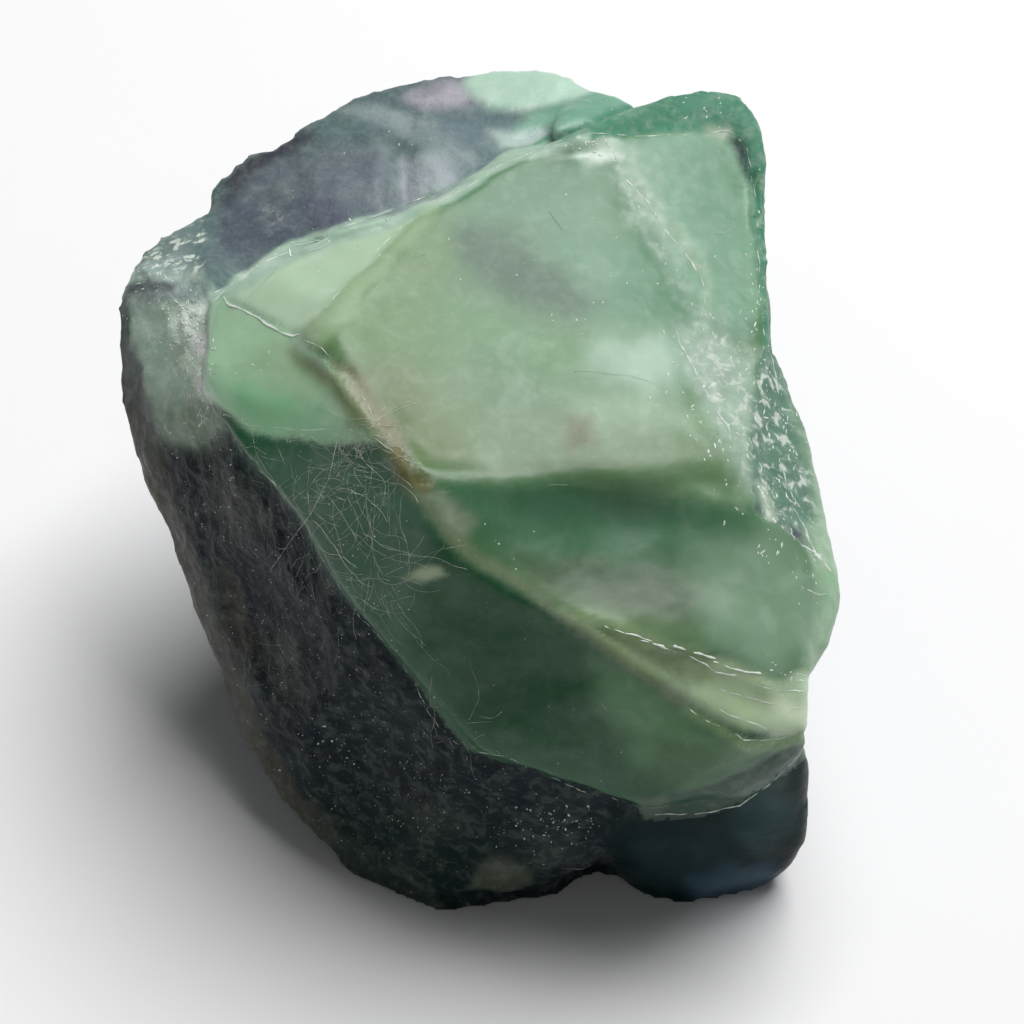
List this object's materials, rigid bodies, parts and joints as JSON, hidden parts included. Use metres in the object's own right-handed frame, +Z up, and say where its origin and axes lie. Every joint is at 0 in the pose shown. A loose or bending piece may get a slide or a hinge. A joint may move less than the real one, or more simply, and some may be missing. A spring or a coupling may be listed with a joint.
{
  "type": "rough fluorite stone",
  "caption": "Palm-size rough broken lump of green fluorite: a pale glassy hollowed face on top, a dark green face in front of a near-black broken wall, and a flat underside to stand on.",
  "frame": {"origin": "on the surface that the stone stands on, under the middle of its box", "axes": "+Z up, +Y towards the rough grey hump at the back, so -Y faces whoever looks at the dark green front, and +X towards the smooth dark foot and the pale bulge at the right"},
  "size_m": [0.0582, 0.0612, 0.0472],
  "materials": {
    "fluorite": "glassy, slightly translucent green fluorite, pale and cloudy on top, dark green to near black and dusty on the broken front"
  },
  "bodies": {
    "root": {"fluorite_stone": "fluorite"}
  },
  "joints": []
}
